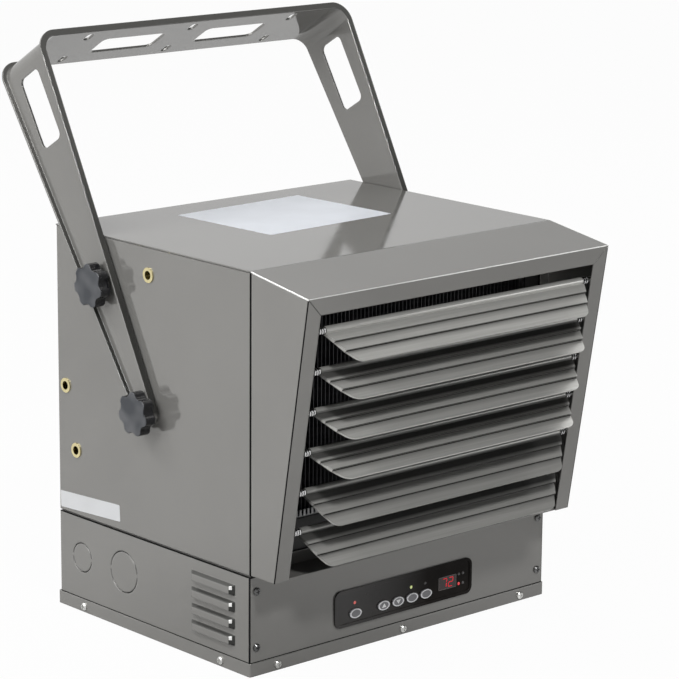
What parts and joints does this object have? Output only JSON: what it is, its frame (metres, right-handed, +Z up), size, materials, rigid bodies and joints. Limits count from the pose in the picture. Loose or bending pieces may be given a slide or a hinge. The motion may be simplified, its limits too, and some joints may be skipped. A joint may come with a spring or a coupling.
{
  "type": "electric garage heater",
  "caption": "Ceiling or wall hung electric fan heater with a louvred outlet hood, fin core, wiring base with push buttons and a tilting U yoke.",
  "frame": {"origin": "middle of the wiring base's underside", "axes": "+Z up, outlet faces -Y, +X to the right seen from the front"},
  "size_m": [0.395, 0.4398, 0.5282],
  "materials": {
    "cabinet_paint": "semi-gloss grey powder coat",
    "louvre_paint": "semi-gloss grey powder coat",
    "yoke_paint": "semi-gloss grey powder coat",
    "zinc_screw": "bright zinc",
    "dark_screw": "blackened steel",
    "bright_steel": "plain bright steel",
    "fin_aluminium": "darkened by heat",
    "element_steel": "heat-darkened sheath",
    "rail_steel": "galvanised",
    "thermostat": "phenolic",
    "galvanised": "galvanised",
    "black_wire": "black coated wire",
    "motor_case": "black enamel",
    "fan_blade": "mill finish",
    "brass_insert": "turned",
    "knob_plastic": "moulded, fine grain",
    "panel_plastic": "moulded",
    "button_plastic": "moulded",
    "switch_plastic": "moulded",
    "led_lens": "clear tinted lens",
    "display_glass": "smoked window",
    "board": "solder mask",
    "terminal_plastic": "phenolic",
    "relay_plastic": "moulded"
  },
  "bodies": {
    "housing": {"bottom_tray": "cabinet_paint", "base_shell": "cabinet_paint", "base_front_panel": "cabinet_paint", "cabinet_floor": "cabinet_paint", "cabinet_left_side": "cabinet_paint", "cabinet_right_side": "cabinet_paint", "cabinet_top": "cabinet_paint", "cabinet_back": "cabinet_paint", "front_bulkhead": "cabinet_paint", "hood_left_side": "cabinet_paint", "hood_right_side": "cabinet_paint", "hood_top": "cabinet_paint", "hood_bottom": "cabinet_paint", "tray_screws": "zinc_screw", "front_panel_screws": "dark_screw", "guard_screws": "zinc_screw", "louvre_pins": "bright_steel", "louvre_springs": "bright_steel", "core_fins": "fin_aluminium", "heating_elements": "element_steel", "core_bottom_rail": "rail_steel", "core_top_rail": "rail_steel", "core_end_plates": "rail_steel", "limit_thermostat": "thermostat", "fan_shroud": "galvanised", "fan_guard": "black_wire", "motor_bracket": "galvanised", "fan_motor": "motor_case", "threaded_inserts": "brass_insert", "control_panel": "panel_plastic", "tact_switches": "switch_plastic", "status_leds": "led_lens", "display": "display_glass", "control_board": "board", "terminal_block": "terminal_plastic", "relays": "relay_plastic", "ground_lug": "brass_insert"},
    "mounting_yoke": {"yoke": "yoke_paint", "yoke_washers": "zinc_screw"},
    "pivot_clamp_left": {"pivot_knob_left": "knob_plastic", "pivot_stud_left": "bright_steel"},
    "pivot_clamp_right": {"pivot_knob_right": "knob_plastic", "pivot_stud_right": "bright_steel"},
    "lock_clamp_left": {"lock_knob_left": "knob_plastic", "lock_stud_left": "bright_steel"},
    "lock_clamp_right": {"lock_knob_right": "knob_plastic", "lock_stud_right": "bright_steel"},
    "blade_1": {"louvre_1": "louvre_paint"},
    "blade_2": {"louvre_2": "louvre_paint"},
    "blade_3": {"louvre_3": "louvre_paint"},
    "blade_4": {"louvre_4": "louvre_paint"},
    "blade_5": {"louvre_5": "louvre_paint"},
    "blade_6": {"louvre_6": "louvre_paint"},
    "fan_rotor": {"fan_impeller": "fan_blade", "motor_shaft": "bright_steel"},
    "key_1": {"button_1": "button_plastic"},
    "key_2": {"button_2": "button_plastic"},
    "key_3": {"button_3": "button_plastic"},
    "key_4": {"button_4": "button_plastic"},
    "key_5": {"button_5": "button_plastic"}
  },
  "joints": [
    {"name": "yoke_tilt", "type": "hinge", "parent": "housing", "child": "mounting_yoke", "pos_m": [0, 0.0015, 0.209], "axis": [-1, 0, 0], "range_deg": [-31, 87.5]},
    {"name": "pivot_knob_turn_left", "type": "hinge", "parent": "housing", "child": "pivot_clamp_left", "pos_m": [0, 0.0015, 0.209], "axis": [1, 0, 0], "continuous": true},
    {"name": "lock_knob_turn_left", "type": "hinge", "parent": "mounting_yoke", "child": "lock_clamp_left", "pos_m": [0, 0.06408, 0.31315], "axis": [1, 0, 0], "continuous": true},
    {"name": "pivot_knob_turn_right", "type": "hinge", "parent": "housing", "child": "pivot_clamp_right", "pos_m": [0, 0.0015, 0.209], "axis": [-1, 0, 0], "continuous": true},
    {"name": "lock_knob_turn_right", "type": "hinge", "parent": "mounting_yoke", "child": "lock_clamp_right", "pos_m": [0, 0.06408, 0.31315], "axis": [-1, 0, 0], "continuous": true},
    {"name": "louvre_1_tilt", "type": "hinge", "parent": "housing", "child": "blade_1", "pos_m": [0, -0.19938, 0.31331], "axis": [1, 0, 0], "range_deg": [-39.6, 33.4]},
    {"name": "louvre_2_tilt", "type": "hinge", "parent": "housing", "child": "blade_2", "pos_m": [0, -0.19345, 0.27729], "axis": [1, 0, 0], "range_deg": [-33, 40]},
    {"name": "louvre_3_tilt", "type": "hinge", "parent": "housing", "child": "blade_3", "pos_m": [0, -0.18752, 0.24127], "axis": [1, 0, 0], "range_deg": [-32.2, 40.8]},
    {"name": "louvre_4_tilt", "type": "hinge", "parent": "housing", "child": "blade_4", "pos_m": [0, -0.1816, 0.20526], "axis": [1, 0, 0], "range_deg": [-31.2, 41.8]},
    {"name": "louvre_5_tilt", "type": "hinge", "parent": "housing", "child": "blade_5", "pos_m": [0, -0.17567, 0.16924], "axis": [1, 0, 0], "range_deg": [-48.4, 24.6]},
    {"name": "louvre_6_tilt", "type": "hinge", "parent": "housing", "child": "blade_6", "pos_m": [0, -0.16974, 0.13323], "axis": [1, 0, 0], "range_deg": [-52.4, 20.6]},
    {"name": "fan_spin", "type": "hinge", "parent": "housing", "child": "fan_rotor", "pos_m": [0, 0.1, 0.226], "axis": [0, 1, 0], "continuous": true},
    {"name": "button_1_press", "type": "slide", "parent": "housing", "child": "key_1", "axis": [0, 1, 0], "range_m": [0, 0.0008], "stiffness_N_per_m": 900},
    {"name": "button_2_press", "type": "slide", "parent": "housing", "child": "key_2", "axis": [0, 1, 0], "range_m": [0, 0.0008], "stiffness_N_per_m": 900},
    {"name": "button_3_press", "type": "slide", "parent": "housing", "child": "key_3", "axis": [0, 1, 0], "range_m": [0, 0.0008], "stiffness_N_per_m": 900},
    {"name": "button_4_press", "type": "slide", "parent": "housing", "child": "key_4", "axis": [0, 1, 0], "range_m": [0, 0.0008], "stiffness_N_per_m": 900},
    {"name": "button_5_press", "type": "slide", "parent": "housing", "child": "key_5", "axis": [0, 1, 0], "range_m": [0, 0.0008], "stiffness_N_per_m": 900}
  ]
}
